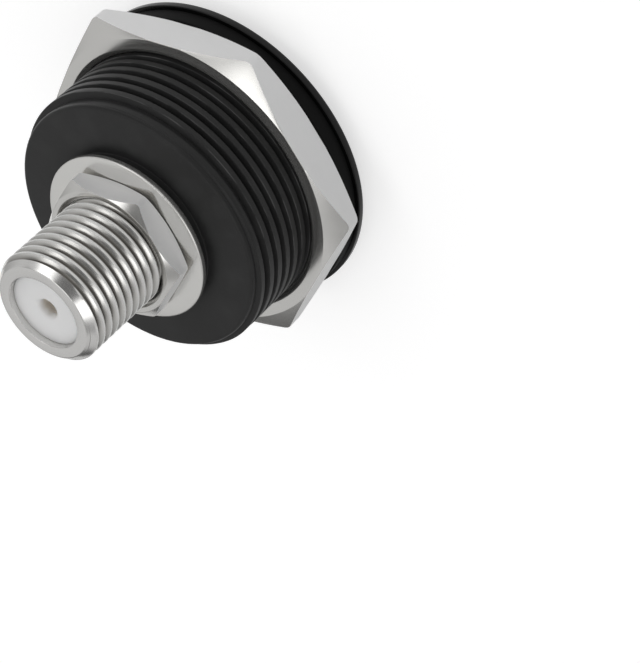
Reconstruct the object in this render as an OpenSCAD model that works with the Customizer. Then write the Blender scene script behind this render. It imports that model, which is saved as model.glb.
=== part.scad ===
// Panel-mount coaxial adapter: a moulded cup with a threaded barrel through its end wall.
// Units are millimetres. +Z runs along the barrel, from the front rim up to the rear port.

/* [Housing thread] */
// Diameter over the crests; the cup, the gasket and the large nut follow it
housing_thread_diameter = 23.15; // [18:0.05:40]
// Distance from crest to crest
housing_thread_pitch = 1.06; // [1:0.02:1.5]
// Depth from crest to root
housing_thread_depth = 0.55; // [0.3:0.05:0.65]
// Width of the flat crest
housing_crest_width = 0.36; // [0.2:0.02:0.45]
// Width of one sloped flank
housing_flank_width = 0.18; // [0.1:0.02:0.25]

/* [Housing] */
// Front rim to the seat under the washer
housing_depth = 13.9; // [12:0.1:20]
// Height of the round seat above the rear face
seat_height = 0.8; // [0.4:0.05:0.9]
// How far the seat stays inside the washer's rim
seat_inset = 0.45; // [0.2:0.05:1]
// Wall between the front recess and the thread's root
cup_wall = 0.775; // [0.6:0.025:1.5]
// Width of the flat front land
land_width = 0.7; // [0.4:0.05:1.2]
// Width of the sloped bezel
bezel_width = 2.45; // [2:0.05:5]
// Height of the sloped bezel
bezel_height = 1.3; // [0.8:0.1:1.8]
// How far the bezel swells above a straight cone
bezel_bulge = 0.15; // [0.05:0.05:0.3]
// Height of the straight rim behind the bezel
rim_height = 0.6; // [0.3:0.1:1]
// How far the plain ring at the rear end stays below the crests
end_ring_relief = 0.5; // [0.2:0.05:0.54]
// Height of the plain ring at the rear end
end_ring_height = 0.55; // [0.5:0.05:1.5]
// Radius of the rear outer corner
end_corner_radius = 0.3; // [0.2:0.05:0.45]
// Thickness of the end wall at the seat
end_wall = 1.5; // [1.4:0.1:2.5]

/* [Gasket] */
// Width of the ring, from bore to rim
gasket_width = 1.4; // [1:0.05:2]
// Thickness
gasket_thickness = 1.4; // [1:0.1:2]

/* [Panel nut] */
// Wall at the middle of each flat
panel_nut_wall = 1.35; // [1.2:0.025:4]
// Thickness
panel_nut_thickness = 3.0; // [2:0.1:4]
// Radius of the upright corners
panel_nut_corner_radius = 0.8; // [0.3:0.1:2]
// How far the chamfers' circle on each face stands outside the flats
panel_nut_chamfer_rise = 0.08; // [0.02:0.01:0.2]
// Slope of the corner chamfers, degrees
panel_nut_chamfer_angle = 26; // [15:1:30]
// Width of the countersink at both faces
panel_nut_countersink = 0.4; // [0.2:0.05:0.8]
// Turn of the nut about its axis, degrees
panel_nut_turn = 47; // [0:0.1:60]

/* [Barrel] */
// Diameter over the thread crests; the barrel, the washer and the small nut follow it
port_thread_diameter = 9.525; // [9:0.025:10]
// Distance from crest to crest
port_thread_pitch = 0.79375; // [0.7:0.01:1]
// Depth from crest to root
port_thread_depth = 0.46; // [0.3:0.02:0.5]
// Width of the narrow flat on a crest
port_crest_width = 0.12; // [0.08:0.01:0.16]
// Overall length
barrel_length = 23.2; // [20:0.1:28]
// How far the front port stays below the front rim
front_port_setback = 1.3; // [0.5:0.1:3]
// Drop from the crests to the outer edge of both end faces
port_face_drop = 0.66; // [0.5:0.02:0.75]
// Height of the chamfer at the rear mouth
rear_chamfer_height = 0.55; // [0.3:0.05:0.8]
// Drop from the crests to the foot of the rear chamfer
rear_chamfer_drop = 0.02; // [0.02:0.02:0.3]
// Drop from the crests to the plain collar at the front mouth
front_collar_drop = 0.46; // [0.3:0.02:0.5]
// Length of the plain collar at the front mouth
front_collar_length = 1.6; // [1:0.1:3]
// Chamfer at the front mouth
front_chamfer = 0.2; // [0.1:0.05:0.3]
// Width of the end face round the front mouth
front_face_width = 0.41; // [0.3:0.01:0.6]
// Width of the end face round the rear mouth
rear_face_width = 0.9; // [0.7:0.02:1.1]
// Step from the front mouth down to the middle bore
bore_step = 0.39; // [0.3:0.01:0.45]
// Thickness of the rear lip
rear_lip = 1.0; // [0.7:0.1:1.5]
// Rise of the shoulder's flats above the crests
shoulder_rise = 0.79; // [0.6:0.01:2]
// Thickness of the shoulder inside the cup
shoulder_thickness = 1.5; // [1:0.1:3]
// Turn of the shoulder about its axis, degrees
shoulder_turn = 0; // [0:1:60]

/* [Washer] */
// Width of the ring, from hole to rim
washer_width = 2.52; // [2:0.02:4]
// Thickness
washer_thickness = 0.5; // [0.3:0.05:1]
// Chamfer at the outer edges
washer_edge = 0.1; // [0.05:0.01:0.14]

/* [Barrel nut] */
// Wall at the middle of each flat
barrel_nut_wall = 0.74; // [0.6:0.02:2]
// Thickness
barrel_nut_thickness = 2.0; // [1.2:0.1:3]
// Radius of the upright corners
barrel_nut_corner_radius = 0.2; // [0.1:0.05:0.5]
// How far the chamfers' circle on each face stands outside the flats
barrel_nut_chamfer_rise = 0.02; // [0.02:0.01:0.1]
// Slope of the corner chamfers, degrees
barrel_nut_chamfer_angle = 28; // [15:1:32]
// Width of the countersink at both faces
barrel_nut_countersink = 0.34; // [0.2:0.02:0.5]
// Turn of the nut about its axis, degrees
barrel_nut_turn = 44.5; // [0:0.1:60]

/* [Insulators] */
// Depth of the rear insert below the rear mouth
rear_insulator_setback = 0.5; // [0.1:0.05:0.7]
// Length of the rear insert behind the lip
rear_insulator_length = 4.0; // [3:0.1:6]
// Diameter of the wire hole in the rear insert
rear_wire_hole = 1.65; // [1.1:0.05:1.7]
// Depth of that hole before it widens for the contact
rear_wire_hole_depth = 0.75; // [0.3:0.05:1]
// Depth of the front insert below the front mouth
front_insulator_setback = 0.3; // [0.1:0.05:0.6]
// Length of the front insert
front_insulator_length = 4.0; // [3:0.1:6]
// Diameter of the wire hole in the front insert
front_wire_hole = 1.4; // [1.1:0.05:1.7]

/* [Centre contact] */
// Outer diameter
contact_diameter = 1.9; // [1.75:0.05:2.4]
// Depth of the contact below the rear insert's face
contact_rear_setback = 1.5; // [1.2:0.05:2.5]
// Depth of the contact below the front insert's face
contact_front_setback = 0.2; // [0.15:0.05:0.8]
// Diameter of the socket in each end
socket_diameter = 0.9; // [0.8:0.02:1.1]
// Depth of each socket
socket_depth = 7.0; // [4:0.5:8]
// Width of the spring slits
slit_width = 0.24; // [0.15:0.01:0.3]
// Length of the spring slits
slit_length = 4.0; // [2:0.5:6]

/* [Clearances] */
// Radial gap between a thread crest and the nut that runs on it
thread_clearance = 0.05; // [0.03:0.01:0.1]
// Gap between a nut and the face that it tightens on
seat_gap = 0.05; // [0.03:0.01:0.1]
// Radial gap round the barrel in the end wall and the washer
hole_clearance = 0.09; // [0.05:0.01:0.2]
// Radial gap round the housing thread inside the gasket
gasket_clearance = 0.12; // [0.05:0.01:0.2]
// Radial gap round the inserts and the contact
insert_clearance = 0.02; // [0.01:0.01:0.04]

/* [Hidden] */
$fn = 96;
overrun = 1;

housing_crest_radius = housing_thread_diameter / 2;
housing_root_radius = housing_crest_radius - housing_thread_depth;
recess_radius = housing_root_radius - cup_wall;
land_radius = recess_radius + land_width;
flange_radius = land_radius + bezel_width;
flange_back = bezel_height + rim_height;
end_ring_radius = housing_crest_radius - end_ring_relief;
recess_floor = housing_depth - end_wall;
rear_face = housing_depth - seat_height;
housing_ridge_width = housing_crest_width + 2 * housing_flank_width;
housing_thread_top = rear_face - end_ring_height;
housing_ridges = floor((housing_thread_top - flange_back) / housing_thread_pitch);

bezel_chord = norm([bezel_width, bezel_height]);
bezel_radius = pow(bezel_chord, 2) / (8 * bezel_bulge) + bezel_bulge / 2;
bezel_back_off = bezel_radius - bezel_bulge;
bezel_centre = [(land_radius + flange_radius) / 2 - bezel_back_off * bezel_height / bezel_chord,
                bezel_height / 2 + bezel_back_off * bezel_width / bezel_chord];

gasket_bore_radius = housing_crest_radius + gasket_clearance;
gasket_top = flange_back + gasket_thickness;
panel_nut_bottom = gasket_top + seat_gap;
panel_nut_bore = housing_crest_radius + thread_clearance;

port_crest_radius = port_thread_diameter / 2;
port_root_radius = port_crest_radius - port_thread_depth;
port_face_radius = port_crest_radius - port_face_drop;
front_collar_radius = port_crest_radius - front_collar_drop;
rear_chamfer_radius = port_crest_radius - rear_chamfer_drop;
barrel_top = front_port_setback + barrel_length;
shoulder_bottom = recess_floor - shoulder_thickness;
shoulder_corner_radius = (port_crest_radius + shoulder_rise) / cos(30);
front_thread_start = front_port_setback + front_collar_length;
rear_thread_end = barrel_top - rear_chamfer_height;
rear_ridge_top = rear_thread_end + (port_thread_pitch - port_crest_width) / 2;
front_mouth_radius = port_face_radius - front_face_width;
rear_mouth_radius = port_face_radius - rear_face_width;
bore_radius = front_mouth_radius - bore_step;
lip_bottom = barrel_top - rear_lip;

hole_radius = port_crest_radius + hole_clearance;
washer_radius = hole_radius + washer_width;
seat_radius = washer_radius - seat_inset;
washer_top = housing_depth + washer_thickness;
barrel_nut_bottom = washer_top + seat_gap;
barrel_nut_bore = port_crest_radius + thread_clearance;

contact_radius = contact_diameter / 2;
contact_hole_radius = contact_radius + insert_clearance;
socket_radius = socket_diameter / 2;

front_insulator_bottom = front_port_setback + front_insulator_setback;
front_insulator_top = front_insulator_bottom + front_insulator_length;
contact_bottom = front_insulator_bottom + contact_front_setback;
rear_insulator_top = barrel_top - rear_insulator_setback;
rear_insulator_bottom = lip_bottom - rear_insulator_length;
contact_top = rear_insulator_top - contact_rear_setback;

// Profile of one thread ridge, centred on height z.
module ridge(root, crest, crest_width, foot_width, z) {
    polygon([[root - overrun / 2, z - foot_width / 2],
             [root, z - foot_width / 2],
             [crest, z - crest_width / 2],
             [crest, z + crest_width / 2],
             [root, z + foot_width / 2],
             [root - overrun / 2, z + foot_width / 2]]);
}

// Hexagon with rounded corners, given by the radius of the circle inside it.
module hexagon(flat_radius, corner_radius) {
    arc_centre = (flat_radius - corner_radius) / cos(30);
    polygon([for (i = [0 : 5]) for (side = [-1, 1])
        arc_centre * [cos(60 * i), sin(60 * i)]
        + corner_radius * [cos(60 * i + 30 * side), sin(60 * i + 30 * side)]]);
    for (i = [0 : 5])
        rotate(60 * i)
            translate([arc_centre, 0])
                circle(corner_radius);
}

// Both end cones of a nut, meeting outside its corners.
module corner_cones(face_radius, thickness, angle) {
    apex = face_radius + thickness / (2 * tan(angle));
    rotate_extrude()
        polygon([[0, 0], [face_radius, 0], [apex, thickness / 2],
                 [face_radius, thickness], [0, thickness]]);
}

// Hexagon nut with chamfered corners, a plain running bore and countersinks at both ends.
module nut(bore, wall, thickness, corner_radius, rise, angle, countersink) {
    sunk = bore + countersink;
    difference() {
        intersection() {
            linear_extrude(thickness)
                hexagon(bore + wall, corner_radius);
            corner_cones(bore + wall + rise, thickness, angle);
        }
        rotate_extrude()
            polygon([[0, -overrun], [sunk, -overrun], [sunk, 0],
                     [bore, countersink], [bore, thickness - countersink],
                     [sunk, thickness], [sunk, thickness + overrun],
                     [0, thickness + overrun]]);
    }
}

// Moulded cup: bevelled flange, threaded wall and end wall in one revolve.
module housing() {
    color([0.09, 0.09, 0.09])
    rotate_extrude()
        difference() {
            union() {
                polygon([[0, 0], [land_radius, 0], [flange_radius, bezel_height],
                         [flange_radius, flange_back], [housing_root_radius, flange_back],
                         [housing_root_radius, housing_thread_top],
                         [end_ring_radius, housing_thread_top],
                         [end_ring_radius, rear_face - end_corner_radius],
                         [end_ring_radius - end_corner_radius, rear_face],
                         [seat_radius, rear_face], [seat_radius, housing_depth],
                         [0, housing_depth]]);
                intersection() {
                    translate(bezel_centre)
                        circle(bezel_radius);
                    translate([land_radius, 0])
                        square([bezel_width, bezel_height]);
                }
                translate([end_ring_radius - end_corner_radius,
                           rear_face - end_corner_radius])
                    circle(end_corner_radius);
                for (i = [0 : housing_ridges - 1])
                    ridge(housing_root_radius, housing_crest_radius, housing_crest_width,
                          housing_ridge_width,
                          housing_thread_top - housing_ridge_width / 2
                          - i * housing_thread_pitch);
            }
            translate([0, -overrun])
                square([recess_radius, recess_floor + overrun]);
            square([hole_radius, housing_depth + overrun]);
        }
}

// Soft ring that seals the panel against the flange.
module gasket() {
    color([0.12, 0.12, 0.12])
    translate([0, 0, flange_back])
        difference() {
            cylinder(h = gasket_thickness, r = gasket_bore_radius + gasket_width);
            translate([0, 0, -overrun])
                cylinder(h = gasket_thickness + 2 * overrun, r = gasket_bore_radius);
        }
}

// Large nut on the housing thread.
module panel_nut() {
    color([0.75, 0.75, 0.74])
    translate([0, 0, panel_nut_bottom])
        rotate(panel_nut_turn)
            nut(panel_nut_bore, panel_nut_wall, panel_nut_thickness,
                panel_nut_corner_radius, panel_nut_chamfer_rise,
                panel_nut_chamfer_angle, panel_nut_countersink);
}

// Ridges of the port thread over one stretch, counted down from its top.
module port_ridges(bottom, top) {
    count = floor((top - bottom) / port_thread_pitch);
    for (i = [0 : count - 1])
        ridge(port_root_radius, port_crest_radius, port_crest_width, port_thread_pitch,
              top - port_thread_pitch * (i + 0.5));
}

// Turned barrel with an F thread at both ends and a hexagon shoulder between them.
module barrel() {
    color([0.78, 0.78, 0.76])
    difference() {
        union() {
            rotate_extrude() {
                polygon([[0, front_port_setback],
                         [port_face_radius, front_port_setback],
                         [front_collar_radius, front_port_setback + front_chamfer],
                         [front_collar_radius, front_thread_start],
                         [port_root_radius, front_thread_start],
                         [port_root_radius, rear_thread_end],
                         [rear_chamfer_radius, rear_thread_end],
                         [port_face_radius, barrel_top],
                         [0, barrel_top]]);
                port_ridges(front_thread_start, shoulder_bottom);
                port_ridges(recess_floor, rear_ridge_top);
            }
            translate([0, 0, shoulder_bottom])
                rotate(shoulder_turn)
                    linear_extrude(shoulder_thickness)
                        circle(shoulder_corner_radius, $fn = 6);
        }
        rotate_extrude()
            polygon([[0, 0], [front_mouth_radius, 0],
                     [front_mouth_radius, front_insulator_top],
                     [bore_radius, front_insulator_top],
                     [bore_radius, lip_bottom],
                     [rear_mouth_radius, lip_bottom],
                     [rear_mouth_radius, barrel_top + overrun],
                     [0, barrel_top + overrun]]);
    }
}

// Thin round washer behind the end wall.
module washer() {
    color([0.8, 0.8, 0.79])
    translate([0, 0, housing_depth])
        rotate_extrude()
            polygon([[hole_radius, 0], [washer_radius - washer_edge, 0],
                     [washer_radius, washer_edge],
                     [washer_radius, washer_thickness - washer_edge],
                     [washer_radius - washer_edge, washer_thickness],
                     [hole_radius, washer_thickness]]);
}

// Small nut that clamps the barrel to the end wall.
module barrel_nut() {
    color([0.78, 0.78, 0.77])
    translate([0, 0, barrel_nut_bottom])
        rotate(barrel_nut_turn)
            nut(barrel_nut_bore, barrel_nut_wall, barrel_nut_thickness,
                barrel_nut_corner_radius, barrel_nut_chamfer_rise,
                barrel_nut_chamfer_angle, barrel_nut_countersink);
}

// Insert behind the rear lip, with a boss that fills the mouth.
module rear_insulator() {
    color([0.95, 0.95, 0.95])
    rotate_extrude()
        polygon([[contact_hole_radius, rear_insulator_bottom],
                 [bore_radius - insert_clearance, rear_insulator_bottom],
                 [bore_radius - insert_clearance, lip_bottom],
                 [rear_mouth_radius - insert_clearance, lip_bottom],
                 [rear_mouth_radius - insert_clearance, rear_insulator_top],
                 [rear_wire_hole / 2, rear_insulator_top],
                 [rear_wire_hole / 2, rear_insulator_top - rear_wire_hole_depth],
                 [contact_hole_radius, rear_insulator_top - rear_wire_hole_depth]]);
}

// Insert in the front mouth, seated on the step of the bore.
module front_insulator() {
    color([0.95, 0.95, 0.95])
    rotate_extrude()
        polygon([[front_wire_hole / 2, front_insulator_bottom],
                 [front_mouth_radius - insert_clearance, front_insulator_bottom],
                 [front_mouth_radius - insert_clearance, front_insulator_top],
                 [contact_hole_radius, front_insulator_top],
                 [contact_hole_radius, contact_bottom],
                 [front_wire_hole / 2, contact_bottom]]);
}

// Double-ended contact: a rod drilled and slit at each end, held between both inserts.
module centre_contact() {
    color([0.85, 0.68, 0.3])
    difference() {
        translate([0, 0, contact_bottom])
            cylinder(h = contact_top - contact_bottom, r = contact_radius);
        translate([0, 0, contact_bottom - overrun])
            cylinder(h = socket_depth + overrun, r = socket_radius);
        translate([0, 0, contact_top - socket_depth])
            cylinder(h = socket_depth + overrun, r = socket_radius);
        translate([-contact_diameter, -slit_width / 2, contact_bottom - overrun])
            cube([2 * contact_diameter, slit_width, slit_length + overrun]);
        translate([-contact_diameter, -slit_width / 2, contact_top - slit_length])
            cube([2 * contact_diameter, slit_width, slit_length + overrun]);
    }
}

housing();
gasket();
panel_nut();
barrel();
washer();
barrel_nut();
rear_insulator();
front_insulator();
centre_contact();
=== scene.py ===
import bpy, bmesh, math
from mathutils import Matrix, Vector


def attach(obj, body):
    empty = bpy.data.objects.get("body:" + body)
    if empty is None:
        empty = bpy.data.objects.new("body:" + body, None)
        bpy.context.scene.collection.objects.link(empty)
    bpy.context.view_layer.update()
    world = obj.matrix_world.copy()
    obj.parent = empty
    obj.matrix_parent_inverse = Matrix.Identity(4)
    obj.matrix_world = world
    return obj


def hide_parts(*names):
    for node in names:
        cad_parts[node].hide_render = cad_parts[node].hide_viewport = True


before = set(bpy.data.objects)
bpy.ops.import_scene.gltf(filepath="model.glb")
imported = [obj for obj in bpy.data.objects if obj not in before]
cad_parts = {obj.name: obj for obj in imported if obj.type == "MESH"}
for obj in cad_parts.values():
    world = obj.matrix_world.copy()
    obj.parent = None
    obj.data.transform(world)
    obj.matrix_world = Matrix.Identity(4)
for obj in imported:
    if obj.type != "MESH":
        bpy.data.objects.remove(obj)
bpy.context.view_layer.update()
print("stage: frame loaded")

mm = 0.001  # the dictionaries hold millimetres, the meshes metres
cornerSegments = 4  # steps in each rounded corner of an outline


# the edges or faces at some vertices, each once, in the order of the vertices
def linked(verts, kind):
    return list(dict.fromkeys(g for v in verts for g in getattr(v, kind)))


# turns a closed outline of (radius, height, rounding) once about Z
def turnOutline(bm, points, steps=240):
    corners = [bm.verts.new((r * mm, 0, z * mm)) for r, z, rounding in points]
    bm.faces.new(corners)
    others = set(bm.verts) - set(corners)
    byRounding = {}
    for corner, point in zip(corners, points):
        if point[2] > 0:
            byRounding.setdefault(point[2], []).append(corner)
    for rounding, group in byRounding.items():
        bmesh.ops.bevel(bm, geom=group, offset=rounding * mm, offset_type="OFFSET",
                        segments=cornerSegments, profile=0.5, affect="VERTICES",
                        clamp_overlap=False, material=-1)
    verts = [v for v in bm.verts if v not in others]
    faces = linked(verts, "link_faces")
    edges = linked(verts, "link_edges")
    bmesh.ops.delete(bm, geom=faces, context="FACES_ONLY")
    bmesh.ops.spin(bm, geom=verts + edges, cent=(0, 0, 0), axis=(0, 0, 1), dvec=(0, 0, 0),
                   angle=2 * math.pi, steps=steps, use_merge=True, use_duplicate=False)


# right-handed ridge on a core: one turn is spun, then stacked; its ends sink into the core
def turnThread(bm, thread, steps=180):
    before = set(bm.verts)
    footSunk, tipGap, coneGap = 0.06, 0.03, 0.004  # the foot is in the core, the end under the tip
    root, crest, pitch = thread["root"] - footSunk, thread["crest"], thread["pitch"]
    foot, top, soft = thread["foot"] / 2, thread["top"] / 2, thread["soft"]
    half = [(root, foot), (crest - soft, top + soft * (foot - top) / (crest - root)),
            (crest, top - soft)]
    profile = [(r, -z) for r, z in half] + [(r, z) for r, z in reversed(half)]
    start = [bm.verts.new((r * mm, 0, (thread["low"] + z) * mm)) for r, z in profile]
    ring = [bm.edges.new((start[i], start[i - 1])) for i in range(len(start))]
    bmesh.ops.spin(bm, geom=start + ring, cent=(0, 0, 0), axis=(0, 0, 1),
                   dvec=(0, 0, pitch * mm / steps), angle=2 * math.pi, steps=steps,
                   use_merge=False, use_duplicate=False)
    turn = [v for v in bm.verts if v not in before]
    turnGeom = turn + linked(turn, "link_edges") + linked(turn, "link_faces")
    for i in range(1, thread["turns"]):
        copy = bmesh.ops.duplicate(bm, geom=turnGeom)["geom"]
        bmesh.ops.translate(bm, vec=(0, 0, i * pitch * mm),
                            verts=[g for g in copy if isinstance(g, bmesh.types.BMVert)])
    bmesh.ops.remove_doubles(bm, verts=[v for v in bm.verts if v not in before], dist=0.001 * mm)
    made = [v for v in bm.verts if v not in before]
    ends = [e for e in linked(made, "link_edges") if e.is_boundary]
    bmesh.ops.holes_fill(bm, edges=ends, sides=0)
    for v in made:
        angle = math.atan2(v.co.y, v.co.x) / (2 * math.pi)
        along = angle + round((v.co.z / mm - thread["low"]) / pitch - angle)
        fade = min(along / thread["fadeIn"], (thread["turns"] - along) / thread["fadeOut"], 1)
        r = math.hypot(v.co.x, v.co.y) / mm
        wanted = root + (r - root) * max(fade, 0)
        if "end" in thread:
            v.co.z = min(v.co.z, (thread["end"] - tipGap) * mm)
            cone = thread["endFace"] + (thread["end"] - v.co.z / mm) * thread["endSlope"]
            wanted = min(wanted, cone - coneGap)
        v.co.x *= wanted / r
        v.co.y *= wanted / r
    bmesh.ops.rotate(bm, verts=made, cent=(0, 0, 0),
                     matrix=Matrix.Rotation(math.radians(thread["start"]), 3, "Z"))


# distance from the axis to the side of a hexagon with rounded corners, at one angle
def hexRadius(angle, width, rounding):
    halfSide = math.radians(30)  # from a corner to the middle of a side
    fromCorner = math.radians(abs((math.degrees(angle) + 30) % 60 - 30))
    arcCentre = (width / 2 - rounding) / math.cos(halfSide)
    reach = math.atan2(rounding * math.sin(halfSide), arcCentre + rounding * math.cos(halfSide))
    if fromCorner > reach:
        return width / 2 / math.cos(halfSide - fromCorner)
    aside = arcCentre * math.sin(fromCorner)
    return arcCentre * math.cos(fromCorner) + math.sqrt(rounding ** 2 - aside ** 2)


# hexagon ring with chamfered corners: turned round first, then its outer rows are pushed out
def turnHexagon(bm, nut, steps=720):
    before = set(bm.verts)
    low, high, flat = nut["bottom"], nut["bottom"] + nut["thickness"], nut["width"] / 2
    middle, sink, edge = (low + high) / 2, nut["sink"] - nut["bore"], nut["edge"]
    spare, step, slack = 1, 0.3, 0.001  # the side's rows start spare outside the flats
    turnOutline(bm, [(nut["bore"], low + sink, 0), (nut["sink"], low, nut["sinkEdge"]),
                     (flat - edge, low, 0), (flat, low + edge / 3, 0),
                     (flat + spare, low + step, 0), (flat + spare, high - step, 0),
                     (flat, high - edge / 3, 0), (flat - edge, high, 0),
                     (nut["sink"], high, nut["sinkEdge"]), (nut["bore"], high - sink, 0)],
                steps)
    made = [v for v in bm.verts if v not in before]
    for v in made:
        r, z = v.co.xy.length / mm, v.co.z / mm
        side = hexRadius(math.atan2(v.co.y, v.co.x), nut["width"], nut["rounding"])
        rim = min(side, nut["faceRadius"])
        wanted = r
        if r > flat + spare / 2:
            angle = nut["backAngle"] if z < middle else nut["chamferAngle"]
            rise = (side - rim) * math.tan(math.radians(angle)) + edge / 2
            wanted, z = side, low + rise if z < middle else high - rise
        elif r > flat - edge - slack:
            wanted = r - flat + rim
        v.co = Vector((v.co.x * wanted / r, v.co.y * wanted / r, z * mm))
    # side faces take the finish at sideFinish: on the nuts, the paler copy of the nickel, painted
    # light on the flats
    for f in linked(made, "link_faces"):
        heights = [v.co.z / mm for v in f.verts]
        outside = f.verts[0].co.xy.length / mm > flat - 2 * nut["edge"]
        if min(heights) < middle < max(heights) and outside:
            f.material_index = nut["sideFinish"]
    bmesh.ops.rotate(bm, verts=made, cent=(0, 0, 0),
                     matrix=Matrix.Rotation(math.radians(nut["turn"]), 3, "Z"))


# cleans and names a piece, shades it smooth but for its sharp edges, and joins it to its body
def addPiece(name, bm, body, node, finishes, sharp=28):
    bmesh.ops.remove_doubles(bm, verts=bm.verts, dist=0.001 * mm)
    bmesh.ops.dissolve_degenerate(bm, dist=0.0005 * mm, edges=bm.edges)
    bmesh.ops.recalc_face_normals(bm, faces=bm.faces)
    mesh = bpy.data.meshes.new(name)
    bm.to_mesh(mesh)
    bm.free()
    mesh.shade_smooth()
    mesh.set_sharp_from_angle(angle=math.radians(sharp))
    piece = bpy.data.objects.new(name, mesh)
    bpy.context.scene.collection.objects.link(piece)
    for finish in finishes:
        mesh.materials.append(finish)
    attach(piece, body)
    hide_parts(node)
    print("piece:", name, len(mesh.polygons), "faces")


# an sRGB hex colour as linear red, green, blue and alpha
def linear(hexColour):
    parts = [int(hexColour[i:i + 2], 16) / 255 for i in (1, 3, 5)]
    return tuple(p / 12.92 if p <= 0.04045 else ((p + 0.055) / 1.055) ** 2.4
                 for p in parts) + (1.0,)


# adds a node: settings go to its inputs or its own properties, links join outputs to its inputs
def addNode(tree, kind, settings=None, links=None):
    node = tree.nodes.new(kind)
    for key, value in (settings or {}).items():
        if isinstance(key, int) or key in node.inputs:
            node.inputs[key].default_value = value
        else:
            setattr(node, key, value)
    for key, source in (links or {}).items():
        tree.links.new(source, node.inputs[key])
    return node


# an empty material, with Object coordinates for patterns: their scales are grains per millimetre
def newMaterial(name):
    material = bpy.data.materials.new(name)
    material.use_nodes = True
    tree = material.node_tree
    tree.nodes.clear()
    out = addNode(tree, "ShaderNodeOutputMaterial")
    place = addNode(tree, "ShaderNodeTexCoord").outputs["Object"]
    return material, tree, out, place


# distance from the part's axis, in metres
def radiusFromAxis(tree, place):
    acrossAxis = addNode(tree, "ShaderNodeVectorMath", {"operation": "MULTIPLY", 1: (1, 1, 0)},
                         {0: place})
    return addNode(tree, "ShaderNodeVectorMath", {"operation": "LENGTH"},
                   {0: acrossAxis.outputs["Vector"]}).outputs["Value"]


# moulded ABS: black, with a fine moulding grain and faint scuffs that run round it; the edges of
# its ridges, at the crest radius, carry a painted grey highlight line in patches
def makeMouldedBlack(name, dark, pale, specular, roughness, crest):
    material, tree, out, place = newMaterial(name)
    grain = addNode(tree, "ShaderNodeTexNoise", {"Scale": 9 / mm, "Detail": 3.0}, {"Vector": place})
    flow = addNode(tree, "ShaderNodeMapping", {"Scale": (0.3 / mm, 0.3 / mm, 2.6 / mm)},
                   {"Vector": place})
    scuffs = addNode(tree, "ShaderNodeTexNoise", {"Scale": 1.0, "Detail": 3.0, "Roughness": 0.6},
                     {"Vector": flow.outputs["Vector"]})
    tone = addNode(tree, "ShaderNodeValToRGB", None, {"Fac": scuffs.outputs["Fac"]})
    low, high = tone.color_ramp.elements
    low.position, low.color = 0.45, linear(dark)
    high.position, high.color = 0.75, linear(pale)
    edgeDepth, edgeReach = 0.025, 0.02  # the ridge's edge, where the highlight is painted, lies under the crest, so far each way
    onEdge = addNode(tree, "ShaderNodeMath",
                     {"operation": "COMPARE", 1: (crest - edgeDepth) * mm, 2: edgeReach * mm},
                     {0: radiusFromAxis(tree, place)})
    patchy = addNode(tree, "ShaderNodeMapRange", {"From Min": 0.44, "From Max": 0.62},
                     {"Value": scuffs.outputs["Fac"]})
    # painted highlight: the ridge edges are painted grey in patches, in place of the light they
    # catch
    paintedEdgeHighlight = addNode(tree, "ShaderNodeMath", {"operation": "MULTIPLY"},
                     {0: onEdge.outputs["Value"], 1: patchy.outputs["Result"]})
    colour = addNode(tree, "ShaderNodeMix", {"data_type": "RGBA", 7: linear("#585858")},
                     {0: paintedEdgeHighlight.outputs["Value"], 6: tone.outputs["Color"]})
    rough = addNode(tree, "ShaderNodeMapRange",
                    {"From Min": 0.3, "From Max": 0.7, "To Min": roughness * 0.85,
                     "To Max": roughness * 1.15}, {"Value": scuffs.outputs["Fac"]})
    heights = addNode(tree, "ShaderNodeMath", {"operation": "MULTIPLY_ADD", 1: 4.0},
                      {0: scuffs.outputs["Fac"], 2: grain.outputs["Fac"]})
    bump = addNode(tree, "ShaderNodeBump", {"Strength": 0.25, "Distance": 0.006 * mm},
                   {"Height": heights.outputs["Value"]})
    shader = addNode(tree, "ShaderNodeBsdfPrincipled", {"IOR": 1.5, "Specular IOR Level": specular},
                     {"Base Color": colour.outputs[2], "Roughness": rough.outputs["Result"],
                      "Normal": bump.outputs["Normal"]})
    tree.links.new(shader.outputs["BSDF"], out.inputs["Surface"])
    return material


def makeSealRubber():  # moulded nitrile rubber: dead black, matt, with a talc-dulled grain
    material, tree, out, place = newMaterial("mouldedSealRubber")
    grain = addNode(tree, "ShaderNodeTexNoise", {"Scale": 4 / mm, "Detail": 4.0}, {"Vector": place})
    tone = addNode(tree, "ShaderNodeValToRGB", None, {"Fac": grain.outputs["Fac"]})
    tone.color_ramp.elements[0].color = linear("#0a0a0a")
    tone.color_ramp.elements[1].color = linear("#101010")
    bump = addNode(tree, "ShaderNodeBump", {"Strength": 0.2, "Distance": 0.02 * mm},
                   {"Height": grain.outputs["Fac"]})
    shader = addNode(tree, "ShaderNodeBsdfPrincipled",
                     {"IOR": 1.52, "Roughness": 0.7, "Specular IOR Level": 0.12},
                     {"Base Color": tone.outputs["Color"], "Normal": bump.outputs["Normal"]})
    tree.links.new(shader.outputs["BSDF"], out.inputs["Surface"])
    return material
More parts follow.
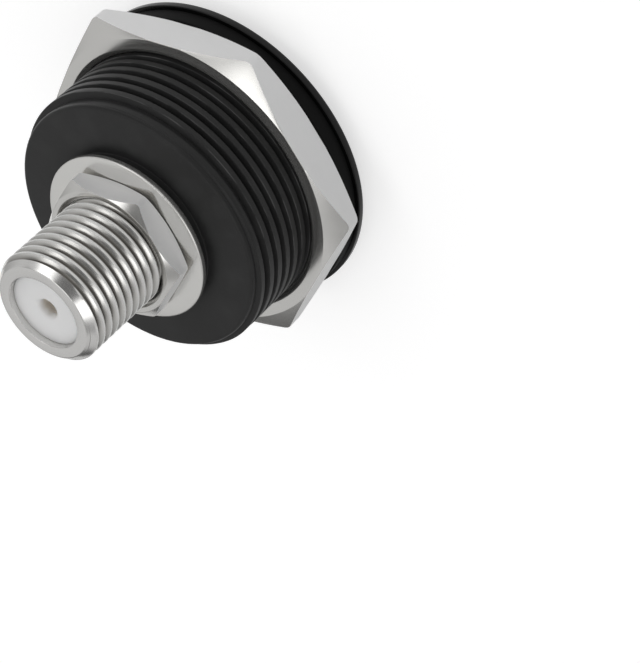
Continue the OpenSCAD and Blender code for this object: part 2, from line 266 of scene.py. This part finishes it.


# nickel plate over brass: a warm grey mirror, softened by the finish of the metal below it; tear
# is the ragged skin that a die leaves along a cut thread, and crest that thread's outer radius,
# where a highlight line is painted
def makeNickel(name, colour, roughness, metallic, tear, crest=0.0):
    material, tree, out, place = newMaterial(name)
    haze = addNode(tree, "ShaderNodeTexNoise", {"Scale": 0.9 / mm, "Detail": 3.0},
                   {"Vector": place})
    aroundAxis = addNode(tree, "ShaderNodeMapping", {"Scale": (0.35 / mm, 0.35 / mm, 5.2 / mm)},
                     {"Vector": place})
    torn = addNode(tree, "ShaderNodeTexNoise", {"Scale": 1.0, "Detail": 4.0, "Roughness": 0.65},
                   {"Vector": aroundAxis.outputs["Vector"]})
    rough = addNode(tree, "ShaderNodeMapRange",
                    {"To Min": roughness * 0.8, "To Max": roughness * 1.2},
                    {"Value": haze.outputs["Fac"]})
    heights = addNode(tree, "ShaderNodeMath", {"operation": "MULTIPLY_ADD", 1: tear},
                      {0: torn.outputs["Fac"], 2: haze.outputs["Fac"]})
    bump = addNode(tree, "ShaderNodeBump", {"Strength": 0.3, "Distance": 0.006 * mm},
                   {"Height": heights.outputs["Value"]})
    shader = addNode(tree, "ShaderNodeBsdfPrincipled",
                     {"Base Color": linear(colour), "Metallic": metallic},
                     {"Roughness": rough.outputs["Result"], "Normal": bump.outputs["Normal"]})
    if crest > 0:  # painted highlight: the crests are painted as a pale, less metallic line, and painted shade darkens the grooves
        crestHighlightFrom, crestHighlightTo, grooveFoot, grooveTop = -0.02, 0.03, -0.42, -0.05  # beyond the crest
        ragged = addNode(tree, "ShaderNodeMath", {"operation": "MULTIPLY_ADD", 1: 0.08 * mm},
                         {0: torn.outputs["Fac"], 2: radiusFromAxis(tree, place)})
        paintedCrestHighlight = addNode(tree, "ShaderNodeMapRange",
                       {"From Min": (crest + crestHighlightFrom) * mm, "From Max": (crest + crestHighlightTo) * mm},
                       {"Value": ragged.outputs["Value"]})
        metal = addNode(tree, "ShaderNodeMapRange", {"To Min": metallic, "To Max": 0.15},
                        {"Value": paintedCrestHighlight.outputs["Result"]})
        outOfGroove = addNode(tree, "ShaderNodeMapRange",
                              {"From Min": (crest + grooveFoot) * mm,
                               "From Max": (crest + grooveTop) * mm},
                              {"Value": ragged.outputs["Value"]})
        # painted shade: below the crest the colour darkens to #75726d towards the groove's foot
        paintedGrooveShade = addNode(tree, "ShaderNodeMix", {"data_type": "RGBA", 6: linear("#75726d"),
                                                 7: linear(colour)},
                         {0: outOfGroove.outputs["Result"]})
        paler = addNode(tree, "ShaderNodeMix", {"data_type": "RGBA", 7: linear("#f6f6f4")},
                        {0: paintedCrestHighlight.outputs["Result"], 6: paintedGrooveShade.outputs[2]})
        tree.links.new(metal.outputs["Result"], shader.inputs["Metallic"])
        tree.links.new(paler.outputs[2], shader.inputs["Base Color"])
    tree.links.new(shader.outputs["BSDF"], out.inputs["Surface"])
    return material


# moulded polyethylene: clean white with a dull, slightly waxy face that light soaks into
def makeInsert():
    material, tree, out, place = newMaterial("mouldedWhitePolyethylene")
    cloud = addNode(tree, "ShaderNodeTexNoise", {"Scale": 0.5 / mm, "Detail": 2.0},
                    {"Vector": place})
    tone = addNode(tree, "ShaderNodeValToRGB", None, {"Fac": cloud.outputs["Fac"]})
    tone.color_ramp.elements[0].color = linear("#eeeeee")
    tone.color_ramp.elements[1].color = linear("#f3f3f3")
    bump = addNode(tree, "ShaderNodeBump", {"Strength": 0.1, "Distance": 0.01 * mm},
                   {"Height": cloud.outputs["Fac"]})
    shader = addNode(tree, "ShaderNodeBsdfPrincipled",
                     {"Roughness": 0.5, "IOR": 1.51, "Subsurface Weight": 0.85,
                      "Subsurface Radius": (1 * mm,) * 3, "Subsurface Scale": 1.0},
                     {"Base Color": tone.outputs["Color"], "Normal": bump.outputs["Normal"]})
    tree.links.new(shader.outputs["BSDF"], out.inputs["Surface"])
    return material


def makeGold():  # gold plate on a turned bronze spring contact
    material, tree, out, place = newMaterial("goldPlatedBronze")
    haze = addNode(tree, "ShaderNodeTexNoise", {"Scale": 3 / mm, "Detail": 2.0}, {"Vector": place})
    rough = addNode(tree, "ShaderNodeMapRange", {"To Min": 0.2, "To Max": 0.32},
                    {"Value": haze.outputs["Fac"]})
    bump = addNode(tree, "ShaderNodeBump", {"Strength": 0.1, "Distance": 0.005 * mm},
                   {"Height": haze.outputs["Fac"]})
    shader = addNode(tree, "ShaderNodeBsdfPrincipled",
                     {"Base Color": linear("#ecc46a"), "Metallic": 1.0},
                     {"Roughness": rough.outputs["Result"], "Normal": bump.outputs["Normal"]})
    tree.links.new(shader.outputs["BSDF"], out.inputs["Surface"])
    return material


housingCrest, portCrest = 11.575, 4.75  # radii of the thread crests, where the finishes paint a highlight line
mouldedBlack = makeMouldedBlack("mouldedBlackAbs", "#2c2c2c", "#353535", 0.18, 0.42,
                                housingCrest)
polishedBlack = makeMouldedBlack("polishedBlackAbs", "#080808", "#0b0b0b", 0.22, 0.25,
                                 housingCrest)
sealRubber = makeSealRubber()
satinNickel = makeNickel("turnedNickelPlate", "#dad9d6", 0.2, 0.88, 0.0)
# a paler, half-metallic copy of the nickel for the hex flats: painted light that keeps them bright
drawnNickelPaintedLight = makeNickel("drawnNickelPlatePaintedLight", "#ececec", 0.45, 0.4, 0.0)
washerNickel = makeNickel("stampedNickelPlate", "#e4e3e0", 0.24, 0.9, 0.0)
# its thread crests carry a painted highlight line and its grooves painted shade
brightNickel = makeNickel("threadedNickelPlate", "#dad9d6", 0.22, 1.0, 6.0, portCrest)
faceNickel = makeNickel("facedNickelPlate", "#dedddb", 0.2, 0.95, 0.0)
insertWhite = makeInsert()
goldPlate = makeGold()
print("stage: materials")

cup = {"recess": 10.25, "land": 10.95, "flange": 13.4, "bezelMiddle": (12.245, 0.518),
       "bezelHeight": 1.3, "flangeBack": 1.9, "root": 11.025, "endRing": 11.075, "threadTop": 12.55,
       "rearFace": 13.1, "endCorner": 0.3, "seat": 6.9225, "height": 13.9, "floor": 12.4,
       "hole": 4.8525, "fine": 0.02, "crisp": 0.08, "soft": 0.1, "rim": 0.12, "inside": 0.3,
       "bezelBlend": 0.9, "polishedFrom": 11.05, "polishedTo": 1.95}  # polished beyond and below
cupThread = {"root": 11.025, "crest": 11.575, "foot": 0.86, "top": 0.5, "soft": 0.04,
             "pitch": 1.06, "low": 2.0, "turns": 10, "start": 0.0, "fadeIn": 0.3, "fadeOut": 0.5}
bm = bmesh.new()
turnOutline(bm, [(cup["hole"], cup["floor"], cup["soft"]),
                 (cup["recess"], cup["floor"], cup["inside"]), (cup["recess"], 0, cup["soft"]),
                 (cup["land"], 0, cup["rim"]), cup["bezelMiddle"] + (cup["bezelBlend"],),
                 (cup["flange"], cup["bezelHeight"], cup["rim"]),
                 (cup["flange"], cup["flangeBack"], cup["crisp"]),
                 (cup["root"], cup["flangeBack"], cup["soft"]),
                 (cup["root"], cup["threadTop"], cup["fine"]),
                 (cup["endRing"], cup["threadTop"] + cup["endRing"] - cup["root"], cup["fine"]),
                 (cup["endRing"], cup["rearFace"], cup["endCorner"]),
                 (cup["seat"], cup["rearFace"], cup["soft"]),
                 (cup["seat"], cup["height"], cup["crisp"]),
                 (cup["hole"], cup["height"], cup["soft"])])
turnThread(bm, cupThread)
for f in bm.faces:
    r, z = f.calc_center_median().xy.length / mm, f.calc_center_median().z / mm
    f.material_index = int(r > cup["polishedFrom"] and z < cup["polishedTo"])
addPiece("housingShell", bm, "adapter", "housing", [mouldedBlack, polishedBlack])

ring = {"inner": 11.695, "outer": 13.095, "bottom": 1.9, "top": 3.3, "rounding": 0.12}
bm = bmesh.new()
turnOutline(bm, [(ring["inner"], ring["bottom"], ring["rounding"]),
                 (ring["outer"], ring["bottom"], ring["rounding"]),
                 (ring["outer"], ring["top"], ring["rounding"]),
                 (ring["inner"], ring["top"], ring["rounding"])])
addPiece("sealRing", bm, "adapter", "gasket", [sealRubber])

largeNut = {"width": 25.95, "faceRadius": 13.055, "thickness": 3.0, "bottom": 3.35,
            "bore": 11.625, "sink": 12.025, "rounding": 0.8, "chamferAngle": 26.0,
            "backAngle": 26.0, "edge": 0.05, "sinkEdge": 0.12, "turn": 47.0, "sideFinish": 1}
bm = bmesh.new()
turnHexagon(bm, largeNut)
addPiece("panelNut", bm, "large_nut", "panel_nut", [satinNickel, drawnNickelPaintedLight],
         sharp=16)

barrel = {"front": 1.3, "rear": 24.5, "face": 4.1025, "chamferFoot": 4.7425, "rearChamfer": 0.55,
          "frontChamfer": 0.2, "root": 4.3025, "collar": 4.3025, "collarTop": 2.9,
          "frontMouth": 3.6925, "bore": 3.3025, "rearMouth": 3.2025, "step": 5.6, "lip": 23.5,
          "mouthEdge": 0.08, "faceEdge": 0.1, "rearMouthEdge": 0.05, "rearFaceEdge": 0.06,
          "cutRadius": 4.2725, "cutLow": 2.4, "cutHigh": 23.95}  # where the cut thread's finish is
portThread = {"root": 4.3025, "crest": 4.7625, "foot": 0.82, "top": 0.16, "soft": 0.04,
              "pitch": 0.8357, "start": 0.0, "fadeIn": 0.3, "fadeOut": 0.3}
shoulder = {"width": 11.1, "faceRadius": 5.55, "thickness": 1.5, "bottom": 10.9, "bore": 4.15,
            "sink": 4.2, "rounding": 0.15, "chamferAngle": 15.0, "backAngle": 15.0,
            "edge": 0.05, "sinkEdge": 0.02, "turn": 0.0, "sideFinish": 0}
rearSlope = (barrel["chamferFoot"] - barrel["face"]) / barrel["rearChamfer"]
rearFoot = barrel["rear"] - (barrel["root"] - barrel["face"]) / rearSlope
frontThread = dict(portThread, low=barrel["collarTop"], turns=10)
rearThread = dict(portThread, low=12.558, turns=15, fadeOut=0.01, end=barrel["rear"],
                  endFace=barrel["face"], endSlope=rearSlope)  # the tip's cone cuts its end
bm = bmesh.new()
turnOutline(bm, [(barrel["frontMouth"], barrel["front"], barrel["mouthEdge"]),
                 (barrel["face"], barrel["front"], barrel["faceEdge"]),
                 (barrel["collar"], barrel["front"] + barrel["frontChamfer"],
                  barrel["mouthEdge"]), (barrel["root"], rearFoot, 0),
                 (barrel["face"], barrel["rear"], barrel["rearFaceEdge"]),
                 (barrel["rearMouth"], barrel["rear"], barrel["rearMouthEdge"]),
                 (barrel["rearMouth"], barrel["lip"], 0),
                 (barrel["bore"], barrel["lip"], 0), (barrel["bore"], barrel["step"], 0),
                 (barrel["frontMouth"], barrel["step"], 0)])
turnThread(bm, frontThread)
turnThread(bm, rearThread)
# the cut thread's faces get the nickel whose crests have a painted highlight and whose grooves have
# painted shade
for f in bm.faces:
    r, z = f.calc_center_median().xy.length / mm, f.calc_center_median().z / mm
    f.material_index = int(r > barrel["cutRadius"] and barrel["cutLow"] < z < barrel["cutHigh"])
turnHexagon(bm, shoulder, steps=360)
addPiece("turnedBarrel", bm, "adapter", "barrel", [faceNickel, brightNickel])

flatWasher = {"inner": 4.8525, "outer": 7.3725, "bottom": 13.9, "top": 14.4, "edge": 0.1,
              "holeEdge": 0.03}
bm = bmesh.new()
turnOutline(bm, [(flatWasher["inner"], flatWasher["bottom"], flatWasher["holeEdge"]),
                 (flatWasher["outer"], flatWasher["bottom"], flatWasher["edge"]),
                 (flatWasher["outer"], flatWasher["top"], flatWasher["edge"]),
                 (flatWasher["inner"], flatWasher["top"], flatWasher["holeEdge"])])
addPiece("flatWasher", bm, "adapter", "washer", [washerNickel])

smallNut = {"width": 11.105, "faceRadius": 5.5725, "thickness": 2.0, "bottom": 14.45,
            "bore": 4.8125, "sink": 5.1525, "rounding": 0.5, "chamferAngle": 36.0,
            "backAngle": 25.0, "edge": 0.04, "sinkEdge": 0.04, "turn": 44.5, "sideFinish": 1}
bm = bmesh.new()
turnHexagon(bm, smallNut)
addPiece("clampNut", bm, "small_nut", "barrel_nut", [satinNickel, drawnNickelPaintedLight],
         sharp=16)

rearInsert = {"outer": 3.2825, "boss": 3.1825, "bottom": 19.5, "lip": 23.5, "top": 24.0,
              "hole": 0.825, "holeEdge": 0.3, "holeDepth": 0.75, "contactHole": 0.97,
              "bottomEdge": 0.1, "topEdge": 0.06}
insertSteps = 160
bm = bmesh.new()
turnOutline(bm, [(rearInsert["contactHole"], rearInsert["bottom"], 0),
                 (rearInsert["outer"], rearInsert["bottom"], rearInsert["bottomEdge"]),
                 (rearInsert["outer"], rearInsert["lip"], 0),
                 (rearInsert["boss"], rearInsert["lip"], 0),
                 (rearInsert["boss"], rearInsert["top"], rearInsert["topEdge"]),
                 (rearInsert["hole"], rearInsert["top"], rearInsert["holeEdge"]),
                 (rearInsert["hole"], rearInsert["top"] - rearInsert["holeDepth"], 0),
                 (rearInsert["contactHole"], rearInsert["top"] - rearInsert["holeDepth"], 0)],
            steps=insertSteps)
addPiece("rearInsert", bm, "adapter", "rear_insulator", [insertWhite])

frontInsert = {"outer": 3.6725, "bottom": 1.6, "top": 5.6, "hole": 0.7, "contactHole": 0.97,
               "contactBottom": 1.8, "edge": 0.1, "holeEdge": 0.05}
bm = bmesh.new()
turnOutline(bm, [(frontInsert["hole"], frontInsert["bottom"], frontInsert["holeEdge"]),
                 (frontInsert["outer"], frontInsert["bottom"], frontInsert["edge"]),
                 (frontInsert["outer"], frontInsert["top"], frontInsert["edge"]),
                 (frontInsert["contactHole"], frontInsert["top"], 0),
                 (frontInsert["contactHole"], frontInsert["contactBottom"], 0),
                 (frontInsert["hole"], frontInsert["contactBottom"], 0)], steps=insertSteps)
addPiece("frontInsert", bm, "adapter", "front_insulator", [insertWhite])

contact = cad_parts["centre_contact"]
contact.data.materials.clear()
contact.data.materials.append(goldPlate)
print("stage: pieces")

view = {"place": (9.947, -149.903, 119.293), "azimuth": -80.172, "elevation": 36.738,
        "roll": -135.920, "lens": 128.503, "sensor": 36.0, "near": 10}
cameraData = bpy.data.cameras.new("camera")
cameraData.lens = view["lens"]
cameraData.sensor_width = view["sensor"]
cameraData.clip_start = view["near"] * mm
camera = bpy.data.objects.new("camera", cameraData)
bpy.context.scene.collection.objects.link(camera)
camera.matrix_world = (Matrix.Translation(Vector(view["place"]) * mm)
                       @ Matrix.Rotation(math.radians(view["azimuth"] + 90), 4, "Z")
                       @ Matrix.Rotation(math.radians(90 - view["elevation"]), 4, "X")
                       @ Matrix.Rotation(math.radians(view["roll"]), 4, "Z"))
bpy.context.scene.camera = camera

# a white table: it glows a little to the camera, and metal sees it paler towards +X
table = {"radius": 3000, "sides": 64, "paint": "#c8c8c8", "lift": 0.62, "darkEnd": -20,
         "paleEnd": 18, "darkGlow": 0.62, "paleGlow": 1.0}
bm = bmesh.new()
bmesh.ops.create_circle(bm, cap_ends=True, radius=table["radius"] * mm, segments=table["sides"])
floorMesh = bpy.data.meshes.new("floor")
bm.to_mesh(floorMesh)
bm.free()
floor = bpy.data.objects.new("floor", floorMesh)
bpy.context.scene.collection.objects.link(floor)
floorPaint, tree, out, place = newMaterial("whiteSweep")
across = addNode(tree, "ShaderNodeSeparateXYZ", None, {"Vector": place})
glow = addNode(tree, "ShaderNodeMapRange",
               {"From Min": table["darkEnd"] * mm, "From Max": table["paleEnd"] * mm,
                "To Min": table["darkGlow"], "To Max": table["paleGlow"]},
               {"Value": across.outputs["X"]})
rays = addNode(tree, "ShaderNodeLightPath")
paint = addNode(tree, "ShaderNodeBsdfDiffuse", {"Color": linear(table["paint"])})
lifted = addNode(tree, "ShaderNodeEmission", {"Strength": table["lift"]})
seen = addNode(tree, "ShaderNodeAddShader", None, {0: paint.outputs[0], 1: lifted.outputs[0]})
mirrored = addNode(tree, "ShaderNodeEmission", None, {"Strength": glow.outputs["Result"]})
direct = addNode(tree, "ShaderNodeMixShader", None, {0: rays.outputs["Is Camera Ray"],
                                                     1: paint.outputs[0], 2: seen.outputs[0]})
final = addNode(tree, "ShaderNodeMixShader", None, {0: rays.outputs["Is Glossy Ray"],
                                                    1: direct.outputs[0], 2: mirrored.outputs[0]})
tree.links.new(final.outputs[0], out.inputs["Surface"])
floorMesh.materials.append(floorPaint)

# a grey room with soft boxes: strength is what a box adds to the room's brightness, and below 0
# it is a dark card; spread is its half angle in degrees
softBoxes = [{"azimuth": -8, "elevation": 57, "spread": 12, "strength": 1.2},
             {"azimuth": -150, "elevation": 57, "spread": 13, "strength": 1.2},
             {"azimuth": 70, "elevation": 83, "spread": 10, "strength": 1.3},
             {"azimuth": -82, "elevation": 70, "spread": 18, "strength": -0.57},
             {"azimuth": 30, "elevation": 46, "spread": 10, "strength": -0.28},
             {"azimuth": 165, "elevation": 48, "spread": 11, "strength": -0.35},
             {"azimuth": 120, "elevation": 58, "spread": 11, "strength": -0.3},
             {"azimuth": 116, "elevation": 12, "spread": 18, "strength": -0.3}]
room = {"horizon": 0.3, "middle": 0.62, "top": 0.72, "middleAt": 0.45, "boxEdge": 3}
world = bpy.data.worlds.new("studio")
bpy.context.scene.world = world
world.use_nodes = True
sky = world.node_tree
sky.nodes.clear()
skyOut = addNode(sky, "ShaderNodeOutputWorld")
toward = addNode(sky, "ShaderNodeTexCoord").outputs["Generated"]
height = addNode(sky, "ShaderNodeSeparateXYZ", None, {"Vector": toward})
walls = addNode(sky, "ShaderNodeValToRGB", None, {"Fac": height.outputs["Z"]})
walls.color_ramp.elements[0].color = (room["horizon"],) * 3 + (1,)
walls.color_ramp.elements[1].color = (room["top"],) * 3 + (1,)
walls.color_ramp.elements.new(room["middleAt"]).color = (room["middle"],) * 3 + (1,)
level = walls.outputs["Color"]
for box in softBoxes:
    turn, tilt = math.radians(box["azimuth"]), math.radians(box["elevation"])
    aim = (math.cos(tilt) * math.cos(turn), math.cos(tilt) * math.sin(turn), math.sin(tilt))
    angle = addNode(sky, "ShaderNodeVectorMath", {"operation": "DOT_PRODUCT", 1: aim}, {0: toward})
    shape = addNode(sky, "ShaderNodeMapRange",
                    {"From Min": math.cos(math.radians(box["spread"] + room["boxEdge"])),
                     "From Max": math.cos(math.radians(box["spread"] - room["boxEdge"])),
                     "To Max": box["strength"], "interpolation_type": "SMOOTHSTEP"},
                    {"Value": angle.outputs["Value"]})
    level = addNode(sky, "ShaderNodeMath", {"operation": "ADD"},
                    {0: level, 1: shape.outputs["Result"]}).outputs["Value"]
soft = addNode(sky, "ShaderNodeBackground", {"Color": (1, 1, 1, 1)}, {"Strength": level})
sky.links.new(soft.outputs["Background"], skyOut.inputs["Surface"])
bpy.context.scene.view_settings.view_transform = "Standard"
print("stage: camera and light")
